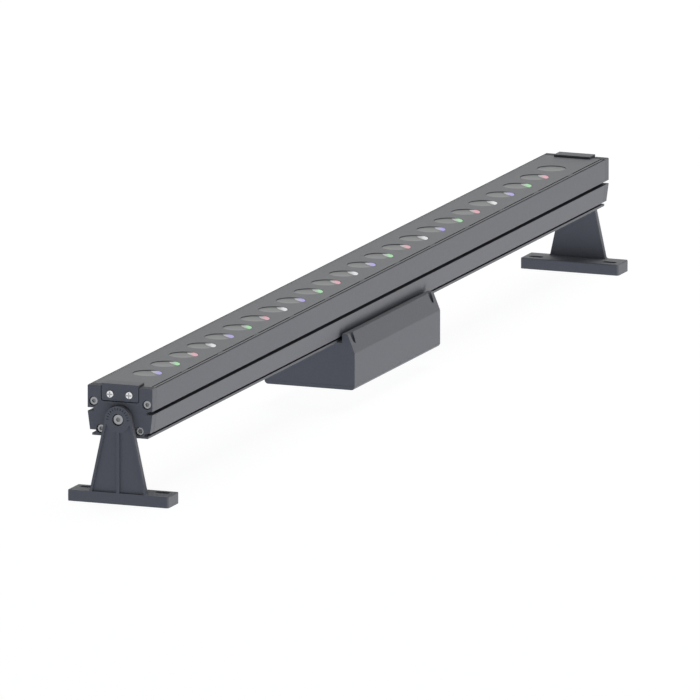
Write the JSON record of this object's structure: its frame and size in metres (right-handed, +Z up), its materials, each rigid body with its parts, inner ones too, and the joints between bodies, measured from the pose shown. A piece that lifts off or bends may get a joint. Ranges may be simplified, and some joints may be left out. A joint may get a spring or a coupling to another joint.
{
  "type": "outdoor wall washer light",
  "caption": "Linear outdoor wall washer: an extruded light bar with colour lens windows and a driver box under it, tilting between two slotted end brackets with clamping pivots.",
  "frame": {"origin": "on the mounting surface, under the middle of the bar", "axes": "+X along the bar, +Y across it, +Z up through the light windows"},
  "size_m": [1.01, 0.085, 0.095],
  "materials": {
    "grey_powder_coat": "grey powder coat on extruded aluminium",
    "dark_powder_coat": "grey powder coat on die-cast aluminium",
    "lens_plastic": "smoked clear acrylic",
    "black_rubber": "matt silicone rubber",
    "board_white": "white solder mask",
    "board_green": "green solder mask",
    "blue_source": "clear dome",
    "green_source": "clear dome",
    "red_source": "clear dome",
    "white_source": "clear dome",
    "stainless_steel": "turned stainless steel",
    "bright_steel": "bright nickel plate",
    "supply_case": "potted module in a light grey case",
    "black_plastic": "moulded black nylon",
    "green_plastic": "moulded green nylon",
    "red_insulation": "red wire insulation"
  },
  "bodies": {
    "left_bracket": {"left_bracket": "dark_powder_coat"},
    "light_bar": {"housing": "grey_powder_coat", "cover_plate": "grey_powder_coat", "cover_gasket": "black_rubber", "lens_array_1": "lens_plastic", "lens_array_2": "lens_plastic", "lens_array_3": "lens_plastic", "lens_array_4": "lens_plastic", "lens_array_5": "lens_plastic", "lens_array_6": "lens_plastic", "led_board_1": "board_white", "led_board_2": "board_white", "led_board_3": "board_white", "led_board_4": "board_white", "led_board_5": "board_white", "led_board_6": "board_white", "leds_blue": "blue_source", "leds_green": "green_source", "leds_red": "red_source", "leds_white": "white_source", "board_links": "black_plastic", "board_screws": "stainless_steel", "left_end_cap": "dark_powder_coat", "right_end_cap": "dark_powder_coat", "left_cap_gasket": "black_rubber", "right_cap_gasket": "black_rubber", "cap_screws": "stainless_steel", "left_cover_clip": "dark_powder_coat", "right_cover_clip": "dark_powder_coat", "left_clip_pad": "black_rubber", "right_clip_pad": "black_rubber", "clip_screws": "bright_steel", "left_pivot_bolt": "stainless_steel", "right_pivot_bolt": "stainless_steel", "left_pivot_washer": "bright_steel", "right_pivot_washer": "bright_steel", "driver_housing": "dark_powder_coat", "driver_cover": "dark_powder_coat", "driver_seal": "black_rubber", "driver_corner_screws": "stainless_steel", "driver_fixing_screws": "stainless_steel", "slot_nuts": "stainless_steel", "power_supply": "supply_case", "supply_screws": "stainless_steel", "control_board": "board_green", "board_spacers": "bright_steel", "control_screws": "stainless_steel", "terminal_block": "green_plastic", "supply_leads": "black_plastic", "wire_positive": "red_insulation", "wire_negative": "black_plastic", "wire_grommet": "black_rubber", "gland_body": "black_plastic", "gland_locknut": "black_plastic", "gland_seal": "black_rubber", "gland_nut": "black_plastic"},
    "right_bracket": {"right_bracket": "dark_powder_coat"}
  },
  "joints": [
    {"name": "tilt", "type": "hinge", "parent": "left_bracket", "child": "light_bar", "pos_m": [-0.5, 0, 0.0675], "axis": [1, 0, 0], "range_deg": [-90, 90]},
    {"name": "right_bracket_tilt", "type": "hinge", "parent": "light_bar", "child": "right_bracket", "pos_m": [0.5, 0, 0.0675], "axis": [1, 0, 0], "range_deg": [-90, 90]}
  ],
  "couplings": [
    {"joint": "right_bracket_tilt", "follows": "tilt", "ratio": -1}
  ]
}
